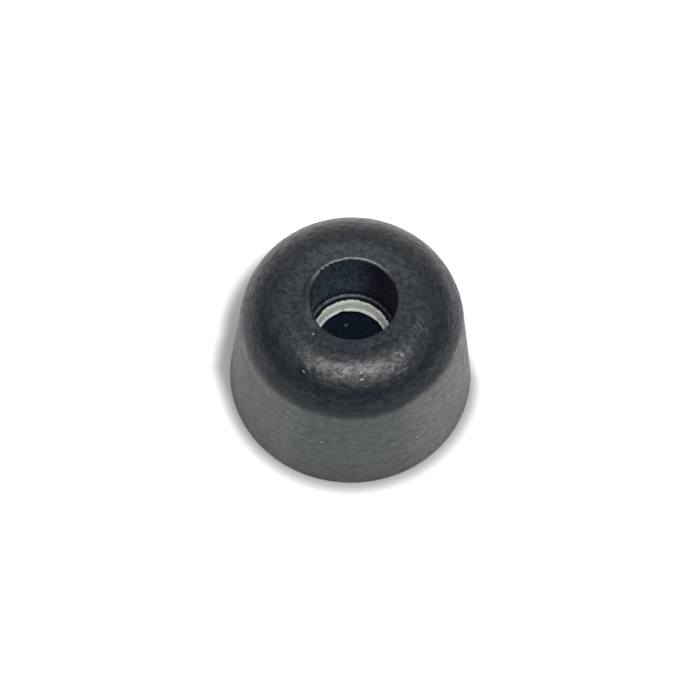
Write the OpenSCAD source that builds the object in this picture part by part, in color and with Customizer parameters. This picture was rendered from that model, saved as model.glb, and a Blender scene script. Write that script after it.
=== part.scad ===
// Rubber foot with a steel washer moulded in.
//
// A drafted rubber body with a rounded shoulder stands on its wide flat base, at z = 0,
// with its axis on Z. A round recess in its top takes the head of the fixing screw.
// The head bears on the washer at the foot of the recess, and the screw runs on down
// through the washer's coned hole and the pad of rubber below it.
// Lengths are in millimetres, angles in degrees.

/* [Rubber body] */
// Diameter of the foot at its widest, round the base
base_d = 38; // [36:0.5:60]
// Height from the flat base to the flat top
foot_h = 26; // [24:0.5:40]
// Draft of the side wall, from upright
side_draft = 6.2; // [2:0.1:8]
// Radius of the rounded shoulder
shoulder_r = 8; // [4:0.5:9.5]
// Radius of the edge round the base
base_edge_r = 0.4; // [0.2:0.1:1.5]

/* [Screw recess] */
// Diameter of the recess that takes the screw's head
recess_d = 13.5; // [13:0.1:14.5]
// Radius of the edge round the mouth of the recess
mouth_edge_r = 0.4; // [0.2:0.1:0.8]
// Height of the rubber ledge at the foot of the recess, above the washer's face
ledge_h = 0.5; // [0.2:0.1:2]
// How far the ledge's inner wall slopes in, from its edge down to the washer
ledge_slope = 0.25; // [0.1:0.05:0.4]

/* [Steel washer] */
// Outside diameter of the washer
washer_d = 24; // [18:0.5:28]
// Diameter of the washer's hole at its narrowest
washer_hole_d = 10.5; // [8.4:0.1:11]
// Thickness of the washer
washer_t = 2.5; // [1.5:0.1:3]
// Height of the straight land at the foot of the hole
land_h = 0.3; // [0.2:0.1:1]
// Slope of the cone that widens the hole from there up, from upright
cone_slope = 17.5; // [10:0.5:20]
// Width of the washer's face that the rubber leaves bare round the cone
bared_w = 0.1; // [0.05:0.05:0.2]
// Radius that punching leaves on the washer's outer upper edge
washer_edge_r = 0.25; // [0.1:0.05:0.5]
// Thickness of the rubber pad between the base and the washer
pad_h = 11.2; // [8:0.1:13]

/* [Hidden] */
$fn = 180;

// The rubber is moulded against the washer, with no gap between them
bond_gap = 0;
// The pin that holds the washer in the mould also forms the hole below it
hole_r = washer_hole_d / 2;

base_r = base_d / 2;
recess_r = recess_d / 2;
washer_r = washer_d / 2;
washer_face_z = pad_h + washer_t;
// The cone runs from the land up to the washer's face, and the ledge stands round it
cone_z = pad_h + land_h;
cone_r = hole_r + (washer_face_z - cone_z) * tan(cone_slope);
bared_r = cone_r + bared_w;
ledge_z = washer_face_z + ledge_h;
ledge_r = bared_r + ledge_slope;

// Centre of the arc round the base
base_edge_x = base_r - base_edge_r;
// Centre of the shoulder's arc, which runs tangent into the side wall and the flat top
shoulder_z = foot_h - shoulder_r;
side_run = (base_edge_r - shoulder_z) * sin(side_draft) + base_edge_r - shoulder_r;
shoulder_x = base_edge_x + side_run / cos(side_draft);
// Centre of the arc round the mouth of the recess
mouth_x = recess_r + mouth_edge_r;
mouth_z = foot_h - mouth_edge_r;

// How far cutting shapes run past what they cut
past = 1;

// The point on a circle's rim at an angle from +X
function on_arc(centre, r, angle) = centre + r * [cos(angle), sin(angle)];

// A slice of a disc between two angles less than half a turn apart
module slice(centre, r, from, to) {
    middle = (from + to) / 2;
    reach = 2 * r;
    intersection() {
        translate(centre) circle(r = r);
        polygon([centre, on_arc(centre, reach, from), on_arc(centre, reach / cos((to - from) / 2), middle),
            on_arc(centre, reach, to)]);
    }
}

// Half of the body's section, filled in: the outline that the mould gives it
module body_outline() {
    shoulder = [shoulder_x, shoulder_z];
    base_edge = [base_edge_x, base_edge_r];
    mouth = [mouth_x, mouth_z];
    polygon([
        [0, 0],
        [base_edge_x, 0],
        base_edge,
        on_arc(base_edge, base_edge_r, side_draft),
        on_arc(shoulder, shoulder_r, side_draft),
        shoulder,
        [shoulder_x, foot_h],
        [mouth_x, foot_h],
        mouth,
        [recess_r, mouth_z],
        [0, mouth_z]
    ]);
    slice(base_edge, base_edge_r, -90, side_draft);
    slice(shoulder, shoulder_r, side_draft, 90);
    slice(mouth, mouth_edge_r, 90, 180);
}

// Half of the washer's section, grown by a gap on all sides
module washer_section(gap = 0) {
    outer = [washer_r - washer_edge_r, washer_face_z - washer_edge_r];
    polygon([
        [hole_r - gap, pad_h - gap],
        [washer_r + gap, pad_h - gap],
        [washer_r + gap, outer.y],
        outer,
        [outer.x, washer_face_z + gap],
        [cone_r - gap, washer_face_z + gap],
        [hole_r - gap, cone_z]
    ]);
    slice(outer, washer_edge_r + gap, 0, 90);
}

// Half of the section of what the rubber leaves open along the axis
module opening_section() {
    // Through hole in the pad
    translate([0, -past]) square([hole_r, pad_h + 2 * past]);
    // The recess, its ledge, and the washer's place as far out as the ledge bares it
    polygon([
        [0, pad_h],
        [bared_r, pad_h],
        [bared_r, washer_face_z],
        [ledge_r, ledge_z],
        [recess_r, ledge_z],
        [recess_r, foot_h + past],
        [0, foot_h + past]
    ]);
}

module rubber_body() {
    color([0.2, 0.21, 0.22])
        rotate_extrude()
            difference() {
                body_outline();
                opening_section();
                washer_section(bond_gap);
            }
}

module steel_washer() {
    color([0.62, 0.65, 0.61])
        rotate_extrude()
            washer_section();
}

rubber_body();
steel_washer();
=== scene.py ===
import math

import bmesh
import bpy
from mathutils import Matrix, Vector


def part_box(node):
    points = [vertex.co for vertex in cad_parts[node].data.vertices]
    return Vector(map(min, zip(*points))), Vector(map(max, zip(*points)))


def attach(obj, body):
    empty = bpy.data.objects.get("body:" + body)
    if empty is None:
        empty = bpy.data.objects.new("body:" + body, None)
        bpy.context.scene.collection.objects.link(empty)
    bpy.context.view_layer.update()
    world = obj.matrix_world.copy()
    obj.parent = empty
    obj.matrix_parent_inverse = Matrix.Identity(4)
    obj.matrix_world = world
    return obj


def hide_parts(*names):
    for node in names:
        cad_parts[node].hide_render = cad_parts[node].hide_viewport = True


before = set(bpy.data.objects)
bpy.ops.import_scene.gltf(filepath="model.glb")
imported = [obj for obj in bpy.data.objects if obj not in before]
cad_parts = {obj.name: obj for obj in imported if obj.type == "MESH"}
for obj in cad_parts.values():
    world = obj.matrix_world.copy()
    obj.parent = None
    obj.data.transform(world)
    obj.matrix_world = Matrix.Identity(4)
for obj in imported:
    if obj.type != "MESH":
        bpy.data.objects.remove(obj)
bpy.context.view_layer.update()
scene = bpy.context.scene
mm = 0.001


# ---------------------------------------------------------------- rubber body
# The foot itself is one moulding in black rubber: a blunt cone with a deeply rounded shoulder,
# a screw-head recess in the top and a plain hole below. It is pressed round the washer in a
# turned steel mould, which parts where the shoulder begins and leaves a fine seam there.

foot_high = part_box("rubber_body")[1]
washer_low, washer_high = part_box("steel_washer")
foot_r = foot_high.x
foot_h = foot_high.z
washer_r = washer_high.x
washer_bottom = washer_low.z
washer_face = washer_high.z

side_draft = math.radians(6.2)
shoulder_r = 8.0 * mm
base_edge_r = 0.4 * mm
crown_start = math.radians(15)
crown_r = 4.7 * mm
top_dish = math.radians(6.5)
recess_r = 6.75 * mm
mouth_roll = math.radians(20)
mouth_roll_r = 0.9 * mm
mouth_edge_r = 0.2 * mm
ledge_h = 0.5 * mm
ledge_drop = 0.12 * mm
lip_r = 6.3 * mm
lip_edge_r = 0.22 * mm
hole_r = 5.25 * mm
washer_edge_r = 0.25 * mm
around = 400
merge_gap = 0.001 * mm
smooth_angle = math.radians(40)
quarter = math.pi / 2

base_arc_r = foot_r - base_edge_r
shoulder_z = foot_h - shoulder_r
wall_run = (shoulder_z - base_edge_r) * math.tan(side_draft)
shoulder_arc_r = base_arc_r + (base_edge_r - shoulder_r) / math.cos(side_draft) - wall_run
crease_r = shoulder_arc_r + shoulder_r * math.cos(side_draft)
crease_z = shoulder_z + shoulder_r * math.sin(side_draft)
mouth_arc_r = recess_r + mouth_edge_r
roll_end = top_dish + mouth_roll
roll_arc_r = mouth_arc_r + (mouth_roll_r - mouth_edge_r) * math.sin(roll_end)
crown_arc_r = shoulder_arc_r + (shoulder_r - crown_r) * math.sin(crown_start)
crown_z = shoulder_z + (shoulder_r - crown_r) * math.cos(crown_start)
dish_start_r = crown_arc_r - crown_r * math.sin(top_dish)
dish_end_r = roll_arc_r - mouth_roll_r * math.sin(top_dish)
dish_end_z = crown_z + crown_r * math.cos(top_dish) - (dish_start_r - dish_end_r) * math.tan(top_dish)
roll_z = dish_end_z - mouth_roll_r * math.cos(top_dish)
mouth_z = roll_z + (mouth_roll_r - mouth_edge_r) * math.cos(roll_end)
ledge_z = washer_face + ledge_h
seam_band = 0.6 * mm
seam_turn = math.radians(4)
rim_band = 0.9 * mm


def start_section(name, r, z):
    # A mesh of one point in the plane y = 0, from which a section is drawn
    bpy.ops.object.select_all(action="DESELECT")
    bpy.ops.mesh.primitive_plane_add(size=mm, location=(r, 0, z))
    piece = bpy.context.object
    piece.name = name
    piece.data.name = name
    bpy.ops.object.transform_apply(location=True, rotation=True, scale=True)
    bpy.ops.object.mode_set(mode="EDIT")
    bpy.ops.mesh.select_mode(type="VERT")
    bpy.ops.mesh.select_all(action="SELECT")
    bpy.ops.mesh.merge(type="CENTER")
    return piece


def line_to(piece, r, z, steps):
    drawn = bmesh.from_edit_mesh(piece.data)
    pen = next(v.co.copy() for v in drawn.verts if v.select)
    step = (Vector((r, 0, z)) - pen) / steps
    for _ in range(steps):
        bpy.ops.mesh.extrude_region_move(TRANSFORM_OT_translate={"value": step})


def arc_about(r, z, turn, steps):
    # A positive turn goes anticlockwise, with the radius to the right and the height upwards
    bpy.ops.mesh.spin(steps=steps, angle=turn, center=(r, 0, z), axis=(0, 1, 0))


def turn_section(segments):
    bpy.ops.mesh.select_all(action="SELECT")
    bpy.ops.mesh.remove_doubles(threshold=merge_gap)
    bpy.ops.mesh.select_all(action="SELECT")
    bpy.ops.mesh.spin(steps=segments, angle=math.tau, center=(0, 0, 0), axis=(0, 0, 1))
    bpy.ops.mesh.select_all(action="SELECT")
    bpy.ops.mesh.remove_doubles(threshold=merge_gap)
    bpy.ops.mesh.normals_make_consistent(inside=False)
    bpy.ops.object.mode_set(mode="OBJECT")
    bpy.ops.object.shade_smooth_by_angle(angle=smooth_angle)


rubber = start_section("foot_rubber", hole_r, 0)
line_to(rubber, base_arc_r, 0, 10)
arc_about(base_arc_r, base_edge_r, quarter + side_draft, 8)
line_to(rubber, crease_r + seam_band * math.tan(side_draft), crease_z - seam_band, 44)
line_to(rubber, crease_r, crease_z, 6)
arc_about(shoulder_arc_r, shoulder_z, seam_turn, 4)
arc_about(shoulder_arc_r, shoulder_z, quarter - side_draft - seam_turn - crown_start, 38)
arc_about(crown_arc_r, crown_z, crown_start + top_dish, 9)
line_to(rubber, dish_end_r, dish_end_z, 5)
arc_about(roll_arc_r, roll_z, mouth_roll, 4)
arc_about(mouth_arc_r, mouth_z, quarter - roll_end, 5)
line_to(rubber, recess_r, mouth_z - rim_band, 8)
line_to(rubber, recess_r, ledge_z, 22)
line_to(rubber, lip_r, ledge_z - ledge_drop, 3)
arc_about(lip_r, ledge_z - ledge_drop - lip_edge_r, quarter, 6)
line_to(rubber, lip_r - lip_edge_r, washer_face, 3)
line_to(rubber, washer_r - washer_edge_r, washer_face, 3)
arc_about(washer_r - washer_edge_r, washer_face - washer_edge_r, -quarter, 4)
line_to(rubber, washer_r, washer_bottom, 2)
line_to(rubber, hole_r, washer_bottom, 3)
line_to(rubber, hole_r, 0, 14)
turn_section(around)


def paint_group(piece, name, weight_at):
    # A vertex group, painted with a weight that depends on azimuth, radius and height
    group = piece.vertex_groups.new(name=name)
    for v in piece.data.vertices:
        azimuth = math.degrees(math.atan2(v.co.y, v.co.x))
        weight = weight_at(azimuth, math.hypot(v.co.x, v.co.y), v.co.z)
        if weight > 0.001:
            group.add([v.index], min(weight, 1), "REPLACE")
    return group.name


def push_out(piece, group, height, lumps=None, lump_size=1):
    # Moves the painted part along its normals, evenly or in soft lumps
    bpy.ops.object.select_all(action="DESELECT")
    piece.select_set(True)
    bpy.context.view_layer.objects.active = piece
    modifier = piece.modifiers.new(group, "DISPLACE")
    modifier.vertex_group = group
    modifier.strength = height
    modifier.mid_level = 0
    if lumps:
        modifier.texture = bpy.data.textures.new(group, lumps)
        modifier.texture.noise_scale = lump_size
        modifier.texture_coords = "LOCAL"
        modifier.texture.noise_depth = 2
        modifier.mid_level = 0.5
    bpy.ops.object.modifier_apply(modifier=modifier.name)


def bell(distance, width):
    # 1 at no distance, about a third at one width and almost nothing at two
    return math.exp(-(distance / width) ** 2)


def ramp(value, start, end):
    # Eases from 0 at the start to 1 at the end
    share = min(1, max(0, (value - start) / (end - start)))
    return share * share * (3 - 2 * share)


# The skin is never quite even: it waves a little all over, is rougher where the mould was blasted,
# stands proud along the seam and at a swell in the mouth, and is nicked along the rim
wave_h = 0.07 * mm
wave_size = 5 * mm
rough_h = 0.09 * mm
rough_size = 0.75 * mm
seam_h = 0.08 * mm
seam_half_width = 0.16 * mm
swell_h = 0.62 * mm
swell_azimuth = 183
swell_spread = 28
nick_depth = 0.4 * mm
# Each nick's azimuth in degrees, its share of the depth and its spread in degrees
rim_nicks = [(115.5, 0.7, 0.9), (121.5, 0.8, 1.0), (129.5, 0.6, 1.0), (136.5, 0.9, 1.1), (96.0, 0.2, 4.0),
             (74.0, 0.3, 1.2), (60.0, 0.25, 2.0)]


def skin_weight(azimuth, r, z):
    # All of the outer skin, fading towards the mouth and the base
    outside = ramp(r, recess_r + 0.2 * mm, recess_r + 1.5 * mm)
    return outside * ramp(z, 0.5 * mm, 3 * mm)


def upper_weight(azimuth, r, z):
    # The top and the shoulder above the seam
    return ramp(r, recess_r - 0.1 * mm, recess_r + 1 * mm) * ramp(z, 18.5 * mm, 21 * mm)


def seam_weight(azimuth, r, z):
    # The seam stands out most at the left, where the mould was worn
    near = bell(math.hypot(r - crease_r, z - crease_z), seam_half_width)
    left = ramp(-azimuth, 118, 134) if azimuth < 0 else ramp(azimuth, 160, 178)
    return near * (0.3 + 0.7 * left)


def swell_weight(azimuth, r, z):
    # The rolled edge of the mouth and a little of the wall below it, at one azimuth
    on_mouth = ramp(r, recess_r + 1.2 * mm, recess_r + 0.1 * mm)
    on_mouth *= ramp(z, mouth_z - 3 * mm, mouth_z - 0.3 * mm)
    return on_mouth * bell((azimuth % 360) - swell_azimuth, swell_spread)


def nick_weight(azimuth, r, z):
    # A narrow band of the wall, right under the mouth's edge
    on_wall = bell(r - recess_r, 0.15 * mm) * bell(z - mouth_z + 0.15 * mm, 0.36 * mm)
    return on_wall * sum(deep * bell(azimuth - at, wide) for at, deep, wide in rim_nicks)


push_out(rubber, paint_group(rubber, "skin", skin_weight), wave_h, "CLOUDS", wave_size)
push_out(rubber, paint_group(rubber, "upper skin", upper_weight), rough_h, "CLOUDS", rough_size)
push_out(rubber, paint_group(rubber, "seam", seam_weight), seam_h)
push_out(rubber, paint_group(rubber, "swell", swell_weight), swell_h)
push_out(rubber, paint_group(rubber, "nicks", nick_weight), -nick_depth)


def add_node(tree, kind, inputs=None, **settings):
    made = tree.nodes.new(kind)
    for name, value in settings.items():
        setattr(made, name, value)
    for name, value in (inputs or {}).items():
        if isinstance(value, bpy.types.NodeSocket):
            tree.links.new(value, made.inputs[name])
        else:
            made.inputs[name].default_value = value
    return made


def math_node(tree, operation, first, second=0.0, third=0.0):
    made = add_node(tree, "ShaderNodeMath", {0: first, 1: second, 2: third}, operation=operation)
    return made.outputs[0]


def vector_node(tree, operation, first, second=(0, 0, 0)):
    made = add_node(tree, "ShaderNodeVectorMath", {0: first, 1: second}, operation=operation)
    return made.outputs["Value" if operation in ("LENGTH", "DOT_PRODUCT") else "Vector"]


def range_node(tree, value, start, end, low=0.0, high=1.0, smooth=True):
    made = add_node(tree, "ShaderNodeMapRange", {"Value": value, "From Min": start, "From Max": end,
                                                 "To Min": low, "To Max": high},
                    interpolation_type="SMOOTHSTEP" if smooth else "LINEAR")
    return made.outputs["Result"]


def noise_node(tree, vector, size, detail=2.0, roughness=0.5):
    made = add_node(tree, "ShaderNodeTexNoise", {"Vector": vector, "Scale": 1 / size, "Detail": detail,
                                                 "Roughness": roughness})
    return made.outputs["Fac"]


def mix_node(tree, share, first, second):
    made = add_node(tree, "ShaderNodeMix", data_type="RGBA")
    for socket, value in ((made.inputs[0], share), (made.inputs[6], first), (made.inputs[7], second)):
        if isinstance(value, bpy.types.NodeSocket):
            tree.links.new(value, socket)
        else:
            socket.default_value = value
    return made.outputs[2]


def new_group(name, inputs, outputs):
    # inputs and outputs are pairs of a socket's name and its kind, "Float" or "Vector"
    group = bpy.data.node_groups.new(name, "ShaderNodeTree")
    for side, sockets in (("INPUT", inputs), ("OUTPUT", outputs)):
        for socket_name, kind in sockets:
            group.interface.new_socket(socket_name, in_out=side, socket_type="NodeSocket" + kind)
    return group, group.nodes.new("NodeGroupInput").outputs, group.nodes.new("NodeGroupOutput").inputs


def mark_group():
    # A speck or a hairline between two points, as a mask that fades at its edge
    inputs = [("Vector", "Vector"), ("Start", "Vector"), ("End", "Vector"), ("Half Width", "Float")]
    group, given, result = new_group("surface_mark", inputs, [("Mask", "Float")])
    reach = vector_node(group, "SUBTRACT", given["Vector"], given["Start"])
    whole = vector_node(group, "SUBTRACT", given["End"], given["Start"])
    share = math_node(group, "DIVIDE", vector_node(group, "DOT_PRODUCT", reach, whole),
                      vector_node(group, "DOT_PRODUCT", whole, whole))
    share = math_node(group, "MAXIMUM", math_node(group, "MINIMUM", share, 1), 0)
    nearest = add_node(group, "ShaderNodeVectorMath", {0: whole, "Scale": share}, operation="SCALE")
    away = vector_node(group, "LENGTH", vector_node(group, "SUBTRACT", reach, nearest.outputs[0]))
    relative = math_node(group, "DIVIDE", away, given["Half Width"])
    group.links.new(range_node(group, relative, 1.3, 0.5), result["Mask"])
    return group


surface_mark = mark_group()


def marks_node(tree, vector, marks):
    # All the marks of a list, each with its start, its end and its half width in millimetres
    together = 0.0
    for start, end, half_width in marks:
        made = add_node(tree, "ShaderNodeGroup", node_tree=surface_mark)
        tree.links.new(vector, made.inputs["Vector"])
        made.inputs["Start"].default_value = [x * mm for x in start]
        made.inputs["End"].default_value = [x * mm for x in end]
        made.inputs["Half Width"].default_value = half_width * mm
        together = math_node(tree, "MAXIMUM", made.outputs["Mask"], together)
    return together


def on_side(azimuth, z):
    # A point of the outer skin, from its azimuth in degrees and its height in millimetres
    if z * mm > crease_z:
        r = shoulder_arc_r / mm + math.sqrt((shoulder_r / mm) ** 2 - (z - shoulder_z / mm) ** 2)
    else:
        r = crease_r / mm + (crease_z / mm - z) * math.tan(side_draft)
    return r * math.cos(math.radians(azimuth)), r * math.sin(math.radians(azimuth)), z


def on_top(azimuth, r):
    # A point of the outer skin, from its azimuth in degrees and its radius in millimetres
    if r * mm > shoulder_arc_r + shoulder_r * math.sin(crown_start):
        z = shoulder_z / mm + math.sqrt((shoulder_r / mm) ** 2 - (r - shoulder_arc_r / mm) ** 2)
    elif r * mm > dish_start_r:
        z = crown_z / mm + math.sqrt((crown_r / mm) ** 2 - (r - crown_arc_r / mm) ** 2)
    else:
        z = dish_end_z / mm + (r - dish_end_r / mm) * math.tan(top_dish)
    return r * math.cos(math.radians(azimuth)), r * math.sin(math.radians(azimuth)), z


def hairline(points, half_width):
    # Marks from each point to the next
    return [(start, end, half_width) for start, end in zip(points, points[1:])]


def spots(points, half_width):
    # Marks that are round, because they are hardly longer than nothing
    spot_length = 0.02
    return [(at, (at[0], at[1], at[2] + spot_length), half_width) for at in points]


# Bits of pale grit in the surface, each with its half width in millimetres
grit = spots([on_side(-54.5, 8.8)], 0.2) + spots([on_top(-132.5, 8.45)], 0.15)
grit += spots([on_side(-103, 11.43), on_side(-122, 16.23)], 0.21)
grit += spots([on_side(-49.5, 20.02), on_top(-50.3, 11.78), on_top(-82.4, 12.2)], 0.13)
grit += hairline([on_top(-120.8, 13.7), on_top(-119.6, 13.78)], 0.08)
grit += hairline([on_top(-83.3, 13.15), on_top(-81.6, 13.12)], 0.1)
grit += hairline([(-0.92, 5.17, 6.2), (-0.92, 5.17, 6.8)], 0.26)

# Pale scuffs on the side, a pale line along the seam at the left that is a painted highlight on its ridge,
# and flecks on the wall of the recess
scuffs_and_seam_highlight = hairline([on_side(-166, 19.3), on_side(-158, 19.0), on_side(-152, 18.2), on_side(-145.5, 18.1),
                   on_side(-136.5, 17.6), on_side(-134.5, 16.4)], 0.22)
scuffs_and_seam_highlight += hairline([on_side(-9.5, 20.1), on_side(-16, 20.1), on_side(-22, 20.1)], 0.35)
scuffs_and_seam_highlight += hairline([on_side(-66, 9.7), on_side(-68.5, 9.95)], 0.16)
scuffs_and_seam_highlight += hairline([(2.0, 6.45, 20.2), (2.3, 6.35, 20.2)], 0.19) + spots([(3.22, 5.93, 17.0)], 0.19)
scuffs_and_seam_highlight += hairline([(0.25, 6.75, 20.6), (0.6, 6.72, 20.6)], 0.11)

# Faint scratches on the top and the shoulder
scratches = hairline([on_top(-59.5, 13.55), on_top(-56.5, 13.55), on_top(-51.5, 13.6)], 0.15)
scratches += spots([on_top(36.5, 8.74), on_top(158, 8.15)], 0.13)
scratches += hairline([on_top(-143, 11.27), on_top(-139, 9.34), on_top(-135.5, 8.6)], 0.08)
scratches += hairline([on_top(-20.5, 10.41), on_top(-24.5, 11.65)], 0.14)
scratches += hairline([on_top(-24.5, 10.12), on_top(-28, 11.46)], 0.1)
scratches += hairline([on_top(-14.5, 9.83), on_top(-18, 10.61)], 0.1)
scratches += hairline([on_top(-22, 11.65), on_top(-23.5, 12.38)], 0.09)

# Small dark pits: on the shoulder and the side, in a broken row near the mouth, and in the rim
pits = spots([on_top(-43, 13.2), on_side(-116.5, 12.83)], 0.26)
pits += spots([on_top(-48.4, 13.3)], 0.15) + spots([on_top(-50.2, 13.2)], 0.16)
pits += hairline([on_top(-44, 13.25), on_top(-46, 13.3)], 0.12)
pits += hairline([on_top(-52, 13.3), on_top(-54, 13.15)], 0.09)
pits += hairline([on_top(-83.3, 12.72), on_top(-81.5, 12.62)], 0.24)
pits += hairline([on_top(-122, 13.9), on_top(-118, 14.1)], 0.11)
pits += spots([on_top(-101.5, 9.1), on_top(-95, 9.15), on_top(-88, 9.3), on_top(-82, 9.15)], 0.13)
pits += spots([on_top(-45, 9.5)], 0.14)
pits += hairline([on_top(-99, 9.1), on_top(-92, 9.2)], 0.06)
pits += hairline([on_top(-79, 9.0), on_top(-76, 8.95)], 0.1)
pits += hairline([on_top(-71, 8.85), on_top(-65, 8.8)], 0.12)
pits += hairline([on_top(-62, 8.75), on_top(-55, 8.85)], 0.08)
pits += spots([(-4.35, 5.17, 25.5)], 0.16) + hairline([(-3.53, 5.76, 25.6), (-3.4, 5.84, 24.9)], 0.16)
pits += hairline([(-2.96, 6.07, 25.6), (-2.85, 6.13, 25.0)], 0.14)
pits += hairline([(-4.9, 4.65, 25.6), (-4.8, 4.75, 24.8)], 0.18)

# Colours of the skin, from the bare black rubber to the bloom and the wear on it, some of them painted light
deep_black = (0.002, 0.006, 0.012, 1)
soft_black = (0.005, 0.009, 0.0125, 1)
grain_grey = (0.0142, 0.0208, 0.0282, 1)
pinhole_black = (0.002, 0.003, 0.005, 1)
pit_black = (0.002, 0.003, 0.004, 1)
bloom_olive_and_reflection = (0.196, 0.206, 0.170, 1)
bloom_front = (0.192, 0.222, 0.224, 1)
bloom_lit_right = (0.258, 0.268, 0.246, 1)
rim_highlight_grey = (0.13, 0.15, 0.16, 1)
scuff_and_highlight_grey = (0.27, 0.29, 0.27, 1)
scratch_grey = (0.055, 0.07, 0.075, 1)
grit_white = (0.38, 0.42, 0.40, 1)

# Colours inside the recess and the hole: bluer as painted shade, with paler greys as painted light on the
# wall and the ledge
wall_black = (0.001, 0.004, 0.016, 1)
wall_lit_and_fleck_grey = (0.108, 0.150, 0.190, 1)
ledge_dark = (0.030, 0.046, 0.058, 1)
ledge_lit_pale = (0.125, 0.165, 0.190, 1)
ledge_right_black = (0.003, 0.008, 0.014, 1)
lip_shade_black = (0.001, 0.002, 0.003, 1)
hole_dark = (0.003, 0.016, 0.038, 1)
hole_pale = (0.022, 0.056, 0.108, 1)
hole_shade_black = (0.001, 0.003, 0.005, 1)

rubber_finish = bpy.data.materials.new("black_rubber")
rubber_finish.use_nodes = True
tree = rubber_finish.node_tree
shader = tree.nodes["Principled BSDF"]

# Where a point lies: its height, the way outwards and its distance from the axis
place = add_node(tree, "ShaderNodeTexCoord").outputs["Object"]
split = add_node(tree, "ShaderNodeSeparateXYZ", {0: place}).outputs
height = split["Z"]
flat_place = vector_node(tree, "MULTIPLY", place, (1, 1, 0))
outward = vector_node(tree, "NORMALIZE", flat_place)
axis_distance = vector_node(tree, "LENGTH", flat_place)
in_hole = range_node(tree, height, washer_bottom + 0.2 * mm, washer_bottom)
in_hole = math_node(tree, "MULTIPLY", in_hole, range_node(tree, axis_distance, 7 * mm, 6 * mm))
outside = range_node(tree, axis_distance, 9 * mm, 10 * mm)
cloudy = noise_node(tree, place, 4 * mm, 5, 0.6)

# Mottled grain, as long round the axis as across, and the faint rings of a turned mould. It is
# evened out towards the back.
grain_size = 1.0 * mm
grain_r = 11 * mm
turning_size = 0.5 * mm
round_place = vector_node(tree, "MULTIPLY", outward, (grain_r, grain_r, 0))
across = math_node(tree, "MULTIPLY_ADD", height, -0.55, axis_distance)
across = add_node(tree, "ShaderNodeCombineXYZ", {2: across}).outputs[0]
skin_place = vector_node(tree, "ADD", round_place, across)
mottled = noise_node(tree, vector_node(tree, "MULTIPLY", skin_place, (1, 1, 1.25)), grain_size, 3, 0.9)
even = range_node(tree, split["Y"], 5 * mm, 14 * mm, 0, 0.16)
grain = range_node(tree, mottled, 0.4, 0.6, even, math_node(tree, "SUBTRACT", 1, even), False)
turned = vector_node(tree, "MULTIPLY", skin_place, (0.06, 0.06, 1))
turning = noise_node(tree, turned, turning_size, 3, 0.7)

# Pinholes, sparse and fine, which show where the skin is polished, and as flecks in the recess
pinhole_pitch = 0.5 * mm
cells = add_node(tree, "ShaderNodeTexVoronoi", {"Vector": skin_place, "Scale": 1 / pinhole_pitch},
                 feature="F1")
cell_pick = add_node(tree, "ShaderNodeSeparateColor", {0: cells.outputs["Color"]}).outputs[0]
pinhole = range_node(tree, cells.outputs["Distance"], 0.28, 0.12)
fleck = math_node(tree, "MULTIPLY", pinhole, range_node(tree, cell_pick, 0.3, 0.2))
pinhole = math_node(tree, "MULTIPLY", pinhole, range_node(tree, cell_pick, 0.45, 0.6))
pinhole = math_node(tree, "MULTIPLY", pinhole, range_node(tree, height, 19 * mm, 22 * mm))

# The side is duller and greyer, with a thin bloom that ends unevenly near the seam
edge_noise = noise_node(tree, place, 0.8 * mm, 3, 0.6)
rise = range_node(tree, split["X"], 3 * mm, 13 * mm, 0, 1.1 * mm)
edge_height = math_node(tree, "MULTIPLY_ADD", edge_noise, 1.1 * mm, rise)
edge_height = math_node(tree, "ADD", edge_height, crease_z - 0.6 * mm)
over_edge = math_node(tree, "SUBTRACT", height, edge_height)
side = math_node(tree, "MULTIPLY", range_node(tree, over_edge, 1.1 * mm, -0.4 * mm), outside)
smears = noise_node(tree, vector_node(tree, "MULTIPLY", place, (1, 1, 4)), 2.5 * mm, 5, 0.65)
bloom_with_painted_shade = range_node(tree, smears, 0.3, 0.7, 0.7, 1.0)

# The bloom is thinner in the grain, worn in patches at the right, and thins at the front and the left as
# painted shade
thin_in_grain = range_node(tree, split["X"], 5 * mm, 11 * mm, 0.78, 0.68)
bloom_with_painted_shade = math_node(tree, "MULTIPLY", bloom_with_painted_shade, range_node(tree, grain, 0, 1, thin_in_grain, 1.0, False))
worn_right = range_node(tree, split["X"], 4 * mm, 11 * mm, 1.0, 0.74)
bloom_with_painted_shade = math_node(tree, "MULTIPLY", bloom_with_painted_shade, range_node(tree, edge_noise, 0.68, 0.36, worn_right, 1.0))
to_front = vector_node(tree, "DOT_PRODUCT", outward, (0.04, -1, 0))
to_front = math_node(tree, "MULTIPLY_ADD", cloudy, 0.12, to_front)
bloom_with_painted_shade = math_node(tree, "MULTIPLY", bloom_with_painted_shade, range_node(tree, to_front, 0.84, 1.02, 1.0, 0.62))
bloom_with_painted_shade = math_node(tree, "MULTIPLY", bloom_with_painted_shade, range_node(tree, split["X"], -13 * mm, -5 * mm, 0.84, 1.0))
bloom_with_painted_shade = math_node(tree, "MULTIPLY", bloom_with_painted_shade, side)

# The bare rubber, with paler grain and black pinholes
tone = mix_node(tree, range_node(tree, cloudy, 0.35, 0.65), deep_black, soft_black)
tone = mix_node(tree, grain, tone, grain_grey)
tone = mix_node(tree, math_node(tree, "MULTIPLY", pinhole, 0.7), tone, pinhole_black)

# The recess: painted light over its wall, paler at the left and none at the far right, fading to painted
# shade near the ledge;
# a ledge painted paler as if lit, darker at the right; and painted shade on the lip over the washer
in_recess = math_node(tree, "MULTIPLY", range_node(tree, axis_distance, 7.0 * mm, 6.88 * mm),
                      range_node(tree, height, mouth_z - 0.05 * mm, mouth_z - 0.5 * mm))
on_wall = math_node(tree, "MULTIPLY", in_recess,
                    range_node(tree, height, ledge_z + 0.05 * mm, ledge_z + 0.2 * mm))
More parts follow.
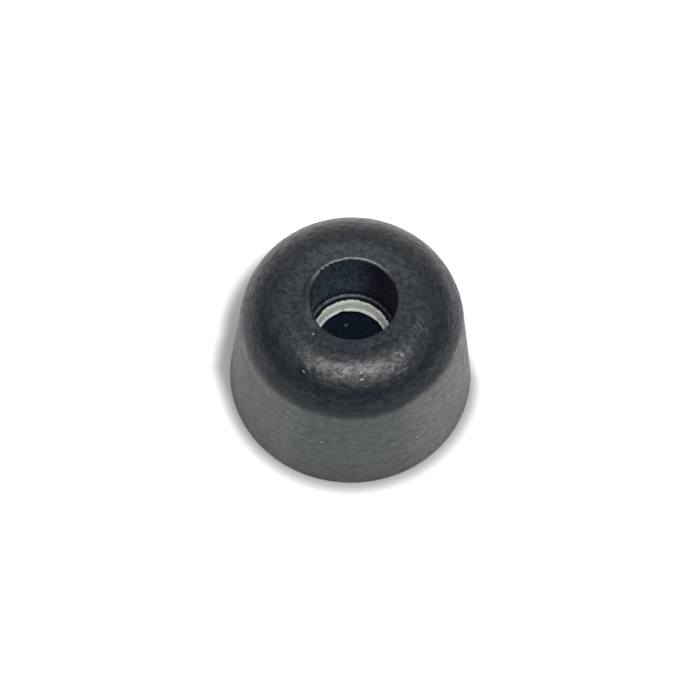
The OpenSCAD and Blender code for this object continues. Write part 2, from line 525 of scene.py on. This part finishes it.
# The painted light is palest on the left of the wall and fades into painted shade near the ledge; real flecks
# are added to it
lit_side = vector_node(tree, "DOT_PRODUCT", outward, (-0.82, -0.57, 0))
lit_side = math_node(tree, "MULTIPLY_ADD", cloudy, 0.25, lit_side)
painted_light_and_flecks = range_node(tree, lit_side, -0.86, -0.42)
above_ledge = range_node(tree, height, ledge_z + 0.5 * mm, ledge_z + 1.8 * mm, 0.2, 1.0)
painted_light_and_flecks = math_node(tree, "MULTIPLY", painted_light_and_flecks, above_ledge)
painted_light_and_flecks = math_node(tree, "MULTIPLY", painted_light_and_flecks, range_node(tree, height, 22.5 * mm, 17.5 * mm, 0.62, 0.95))
painted_light_and_flecks = math_node(tree, "MULTIPLY", painted_light_and_flecks, range_node(tree, grain, 0, 1, 0.2, 1.0, False))
painted_light_and_flecks = math_node(tree, "MULTIPLY_ADD", fleck, 0.4, painted_light_and_flecks)
wall_tone = mix_node(tree, painted_light_and_flecks, wall_black, wall_lit_and_fleck_grey)
# The ledge is painted paler as if lit, and darker towards the right
ledge_tone = mix_node(tree, grain, ledge_dark, ledge_lit_pale)
ledge_right = range_node(tree, split["X"], 0.5 * mm, 4 * mm, 0, 0.85)
ledge_tone = mix_node(tree, ledge_right, ledge_tone, ledge_right_black)
# Painted shade: black on the lip over the washer
on_lip = range_node(tree, axis_distance, 6.44 * mm, 6.30 * mm)
ledge_tone = mix_node(tree, on_lip, ledge_tone, lip_shade_black)
on_ledge = math_node(tree, "SUBTRACT", in_recess, on_wall)
recess_tone = mix_node(tree, on_wall, ledge_tone, wall_tone)
tone = mix_node(tree, in_recess, tone, recess_tone)

# The hole below the washer, with painted shade that is darkest right under it
hole_tone = mix_node(tree, grain, hole_dark, hole_pale)
under_washer = range_node(tree, height, washer_bottom - 1.2 * mm, washer_bottom - 0.5 * mm)
hole_tone = mix_node(tree, under_washer, hole_tone, hole_shade_black)
tone = mix_node(tree, in_hole, tone, hole_tone)

# The bloom's colour: bluer at the front, olive elsewhere and at the base, partly as a painted reflection, and
# palest at the right as painted light
facing = range_node(tree, to_front, 0.5, 1.05)
facing = math_node(tree, "MULTIPLY", facing, range_node(tree, height, 2 * mm, 8 * mm, 0.35, 1))
bloom_and_light_tone = mix_node(tree, facing, bloom_olive_and_reflection, bloom_front)
bloom_and_light_tone = mix_node(tree, range_node(tree, split["X"], 4 * mm, 13 * mm), bloom_and_light_tone, bloom_lit_right)
tone = mix_node(tree, bloom_with_painted_shade, tone, bloom_and_light_tone)

# A painted highlight along the far edge of the mouth, and the single marks over all of it
near_rim = math_node(tree, "MULTIPLY", range_node(tree, axis_distance, 7.15 * mm, 7.0 * mm),
                     range_node(tree, height, mouth_z - 0.15 * mm, mouth_z + 0.05 * mm))
at_back = vector_node(tree, "DOT_PRODUCT", outward, (-0.15, 0.99, 0))
painted_rim_highlight = math_node(tree, "MULTIPLY", near_rim, range_node(tree, at_back, 0.35, 0.8))
painted_rim_highlight = math_node(tree, "MULTIPLY", painted_rim_highlight, range_node(tree, cloudy, 0.3, 0.6, 0.45, 1.0))
tone = mix_node(tree, painted_rim_highlight, tone, rim_highlight_grey)
scuff_and_seam_highlight = marks_node(tree, place, scuffs_and_seam_highlight)
scratch = marks_node(tree, place, scratches)
grit_mask = marks_node(tree, place, grit)
pit = marks_node(tree, place, pits)
# The scuffs and the painted highlight along the seam take the same pale grey
scuff_and_highlight_in_grain = math_node(tree, "MULTIPLY", scuff_and_seam_highlight, range_node(tree, grain, 0.1, 0.8, 0.3, 1.0))
tone = mix_node(tree, scuff_and_highlight_in_grain, tone, scuff_and_highlight_grey)
tone = mix_node(tree, scratch, tone, scratch_grey)
tone = mix_node(tree, grit_mask, tone, grit_white)
tone = mix_node(tree, pit, tone, pit_black)
tree.links.new(tone, shader.inputs["Base Color"])

# The grain stands up a little, in the rubber and in the film over it
relief_h = 0.06 * mm
relief = math_node(tree, "MULTIPLY_ADD", turning, 0.2, mottled)
for normal_socket in ("Normal", "Coat Normal"):
    bump = add_node(tree, "ShaderNodeBump", {"Strength": 1.0, "Distance": relief_h, "Height": relief})
    tree.links.new(bump.outputs["Normal"], shader.inputs[normal_socket])

# The top and the upper shoulder were shaped by smoother steel and are glossier. The polish fades on
# the shoulder and towards both sides, and is all but gone in the recess and the hole.
polish = range_node(tree, height, 20.5 * mm, 24.5 * mm)
polish = math_node(tree, "MAXIMUM", polish, range_node(tree, axis_distance, 8 * mm, 7.5 * mm, 0, 0.8))
polish = math_node(tree, "MULTIPLY", polish, range_node(tree, in_hole, 0, 1, 1, 0))
polish = math_node(tree, "MULTIPLY", polish, range_node(tree, on_wall, 0, 1, 1, 0.1))
dull_ledge = range_node(tree, on_ledge, 0, 1, 1, range_node(tree, on_lip, 0, 1, 0.4, 0))
polish = math_node(tree, "MULTIPLY", polish, dull_ledge)
polish = math_node(tree, "MULTIPLY", polish, range_node(tree, grain, 0, 1, 0.3, 1.0, False))
polish = math_node(tree, "MULTIPLY", polish, range_node(tree, pit, 0, 1, 1, 0))
polish = math_node(tree, "MULTIPLY", polish, range_node(tree, axis_distance, 12.4 * mm, 14 * mm, 1, 0.75))
sideways = math_node(tree, "ABSOLUTE", split["X"])
polish = math_node(tree, "MULTIPLY", polish, range_node(tree, sideways, 7 * mm, 12 * mm, 1, 0.78))
polish = math_node(tree, "MULTIPLY", polish, range_node(tree, pinhole, 0, 1, 1, 0.25))
tree.links.new(polish, shader.inputs["Coat Weight"])
shader.inputs["Coat Roughness"].default_value = 0.28
shader.inputs["Coat IOR"].default_value = 1.58
roughness = range_node(tree, grain, 0, 1, 0.44, 0.34, False)
roughness = math_node(tree, "MULTIPLY_ADD", side, 0.12, roughness)
roughness = math_node(tree, "MULTIPLY_ADD", in_hole, 0.2, roughness)
roughness = math_node(tree, "MULTIPLY_ADD", in_recess, 0.28, roughness)
tree.links.new(roughness, shader.inputs["Roughness"])
shader.inputs["Specular IOR Level"].default_value = 0.23
rubber.data.materials.append(rubber_finish)
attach(rubber, "root")
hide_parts("rubber_body")


# ---------------------------------------------------------------- steel washer
# A thick steel washer, punched from plate and dull zinc plated, whose hole opens out upwards to
# seat the screw's head. It is moulded into the rubber, so only the sloping seat and its land show,
# with the uneven edge that the punch tore.

washer_around = 256
land_start = 0.09 * mm
land_edge_r = 0.3 * mm
cone_foot_h = 0.52 * mm
cone_top_r = 5.94 * mm
# The worn upper edge of the cone: outwards from its top, up from the washer's face, and steps
worn_edge = [(-0.19 * mm, -0.55 * mm, 12), (-0.01 * mm, -0.22 * mm, 3), (0.09 * mm, -0.07 * mm, 2),
             (0.2 * mm, 0, 2)]

washer = start_section("foot_washer", hole_r, washer_bottom)
line_to(washer, hole_r, washer_bottom + land_start, 2)
arc_about(hole_r + land_edge_r, washer_bottom + land_start, -math.radians(45), 5)
line_to(washer, hole_r + land_edge_r, washer_bottom + cone_foot_h, 3)
for out, up, steps in worn_edge:
    line_to(washer, cone_top_r + out, washer_face + up, steps)
line_to(washer, washer_r - washer_edge_r, washer_face, 4)
arc_about(washer_r - washer_edge_r, washer_face - washer_edge_r, -quarter, 4)
line_to(washer, washer_r, washer_bottom, 2)
line_to(washer, hole_r, washer_bottom, 4)
turn_section(washer_around)

seat_wave_h = 0.10 * mm
seat_wave_size = 1.6 * mm
torn_depth = 0.24 * mm
# Each torn place's azimuth in degrees, its share of the depth and its spread in degrees
torn_places = [(108, 0.9, 7), (41, 0.8, 5), (27, 0.8, 7), (15, 0.6, 4), (83, 0.25, 4)]


def seat_weight(azimuth, r, z):
    # The cone and the land
    return ramp(r, cone_top_r + 0.1 * mm, cone_top_r - 0.1 * mm)


def torn_weight(azimuth, r, z):
    # The lower edge of the cone, in a few places
    on_land = ramp(z, washer_bottom + 0.75 * mm, washer_bottom + 0.3 * mm) * ramp(r, 5.75 * mm, 5.45 * mm)
    return on_land * sum(deep * bell(azimuth - at, wide) for at, deep, wide in torn_places)


push_out(washer, paint_group(washer, "seat", seat_weight), seat_wave_h, "CLOUDS", seat_wave_size)
push_out(washer, paint_group(washer, "torn", torn_weight), -torn_depth)

zinc_grey = (0.90, 0.97, 0.88, 1)
zinc_bright = (0.98, 1.0, 0.95, 1)
fleck_olive = (0.38, 0.44, 0.28, 1)
stain_olive = (0.30, 0.32, 0.20, 1)
gap_shade_black = (0.012, 0.015, 0.016, 1)
zinc_relief_h = 0.05 * mm
stained_places = spots([(4.45, 3.1, 12.5), (4.75, 2.6, 12.8), (4.95, 2.2, 12.7)], 0.28)

zinc_finish = bpy.data.materials.new("dull_zinc")
zinc_finish.use_nodes = True
tree = zinc_finish.node_tree
shader = tree.nodes["Principled BSDF"]
place = add_node(tree, "ShaderNodeTexCoord").outputs["Object"]
patches = noise_node(tree, place, 0.9 * mm, 4, 0.6)
tone = mix_node(tree, range_node(tree, patches, 0.35, 0.68), zinc_grey, zinc_bright)
flecks = range_node(tree, noise_node(tree, place, 0.42 * mm, 2, 0.6), 0.55, 0.67, 0, 0.62)
tone = mix_node(tree, flecks, tone, fleck_olive)
tone = mix_node(tree, marks_node(tree, place, stained_places), tone, stain_olive)
# Painted shade: black round the outer edge of the seat, where it goes under the rubber lip
axis_distance = vector_node(tree, "LENGTH", vector_node(tree, "MULTIPLY", place, (1, 1, 0)))
ragged = math_node(tree, "MULTIPLY_ADD", patches, 0.5 * mm, axis_distance)
gap_shade = range_node(tree, ragged, cone_top_r + 0.27 * mm, cone_top_r + 0.32 * mm)
tone = mix_node(tree, gap_shade, tone, gap_shade_black)
tree.links.new(tone, shader.inputs["Base Color"])
tree.links.new(range_node(tree, patches, 0.35, 0.65, 0.5, 0.62), shader.inputs["Roughness"])
zinc_grain = noise_node(tree, place, 0.5 * mm, 3, 0.8)
bump = add_node(tree, "ShaderNodeBump", {"Strength": 1.0, "Distance": zinc_relief_h, "Height": zinc_grain})
tree.links.new(bump.outputs["Normal"], shader.inputs["Normal"])
washer.data.materials.append(zinc_finish)
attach(washer, "root")
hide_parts("steel_washer")


# ---------------------------------------------------------------- floor
# A plain white sheet under the foot. It is lit as a pale grey, and away from the foot it shows white
# to the camera and in reflections. Close to the foot it shows the foot's own shadow and a painted shadow
# round it.

sheet_size = 6
sheet_grey = (0.52, 0.52, 0.52, 1)
sheet_lift = 0.64
shade_width = 2.8 * mm
shade_length = 6 * mm
shade_stretch = 1.8 * mm

bpy.ops.object.select_all(action="DESELECT")
bpy.ops.mesh.primitive_plane_add(size=sheet_size, location=(0, 0, 0))
floor = bpy.context.object
floor.name = "floor"
floor_finish = bpy.data.materials.new("white_sheet")
floor_finish.use_nodes = True
tree = floor_finish.node_tree
shader = tree.nodes["Principled BSDF"]
shader.inputs["Base Color"].default_value = sheet_grey
shader.inputs["Roughness"].default_value = 1
shader.inputs["Specular IOR Level"].default_value = 0
rays = add_node(tree, "ShaderNodeLightPath").outputs
seen = math_node(tree, "MAXIMUM", rays["Is Camera Ray"], rays["Is Glossy Ray"])
seen = math_node(tree, "MAXIMUM", seen, rays["Is Transmission Ray"])
place = add_node(tree, "ShaderNodeTexCoord").outputs["Object"]
split = add_node(tree, "ShaderNodeSeparateXYZ", {0: place}).outputs

# The distance from the foot, less where the painted shadow reaches further: behind it, and at the left
behind = range_node(tree, split["Y"], 0, shade_length, smooth=False)
along = math_node(tree, "SUBTRACT", split["Y"], math_node(tree, "MULTIPLY", behind, shade_length))
from_foot = add_node(tree, "ShaderNodeCombineXYZ", {0: split["X"], 1: along}).outputs[0]
away = vector_node(tree, "LENGTH", from_foot)
away = math_node(tree, "MULTIPLY_ADD", behind, shade_stretch, away)
lean = range_node(tree, split["X"], -15 * mm, 14 * mm, -2 * mm, 0.9 * mm, False)
lean = math_node(tree, "MULTIPLY", lean, range_node(tree, split["Y"], -6 * mm, 6 * mm))
away = math_node(tree, "ADD", away, lean)
lift_clear_of_painted_shadow = range_node(tree, away, foot_r, foot_r + shade_width, 0, sheet_lift)
shader.inputs["Emission Color"].default_value = (1, 1, 1, 1)
tree.links.new(math_node(tree, "MULTIPLY", seen, lift_clear_of_painted_shadow), shader.inputs["Emission Strength"])
floor.data.materials.append(floor_finish)


# ---------------------------------------------------------------- light
# A long soft box overhead, a weaker panel behind it and a wide one at the front right, a pale card
# low at the back that is a little yellow, and a dim surround that is brighter above and behind.

box_h = 1.0
box_turn = math.radians(5)
card_colour = (1, 0.95, 0.78)


def add_panel(name, place, turn, width, depth, power):
    # A rectangular soft light, which shines straight down unless it is turned
    bpy.ops.object.light_add(type="AREA", location=place, rotation=turn)
    panel = bpy.context.object
    panel.name = name
    panel.data.shape = "RECTANGLE"
    panel.data.size = width
    panel.data.size_y = depth
    panel.data.energy = power
    return panel


add_panel("soft_box", (0.09 * box_h, -0.265 * box_h, box_h), (0, 0, box_turn), 0.9 * box_h, 0.44 * box_h, 7.1)
add_panel("top_panel", (-0.08 * box_h, 0.29 * box_h, box_h), (0, 0, 0), 1.2 * box_h, 0.36 * box_h, 0.7)
add_panel("front_panel", (0.32 * box_h, -0.74 * box_h, box_h), (0, 0, 0), 1.5 * box_h, 0.66 * box_h, 3.6)
back_card = add_panel("back_card", (-0.25, 1.1, 0.3), (-quarter, 0, 0), 2.0, 0.6, 0.7)
back_card.data.color = card_colour

surround_up = (0.05, 0.55, 0.83)
surround_dim = 0.07
surround_bright = 0.42
surround = bpy.data.worlds.new("surround")
scene.world = surround
surround.use_nodes = True
sky = surround.node_tree
direction = add_node(sky, "ShaderNodeTexCoord").outputs["Generated"]
upwards = vector_node(sky, "DOT_PRODUCT", direction, surround_up)
brightness = range_node(sky, upwards, -0.15, 0.6, surround_dim, surround_bright, False)
sky.nodes["Background"].inputs["Color"].default_value = (1, 1, 1, 1)
sky.links.new(brightness, sky.nodes["Background"].inputs["Strength"])


# ---------------------------------------------------------------- camera
# Looks down on the foot from the front, from about arm's length, and is tilted a little to one side.
# Its lens is given as a focal length in pixels of the square frame.

aim = Vector((-0.17, -0.86, 10)) * mm
view_elevation = math.radians(63.7)
view_distance = 410 * mm
view_roll = math.radians(2.05)
frame_px = 700
focal_px = 2646.6
bpy.ops.object.camera_add()
camera = bpy.context.object
back = Vector((0, -math.cos(view_elevation), math.sin(view_elevation)))
level = back.to_track_quat("Z", "Y").to_matrix()
turned = level @ Matrix.Rotation(view_roll, 3, "Z")
camera.matrix_world = Matrix.Translation(aim + back * view_distance) @ turned.to_4x4()
camera.data.sensor_width = 36
camera.data.lens = camera.data.sensor_width * focal_px / frame_px
scene.camera = camera

scene.view_settings.view_transform = "Standard"
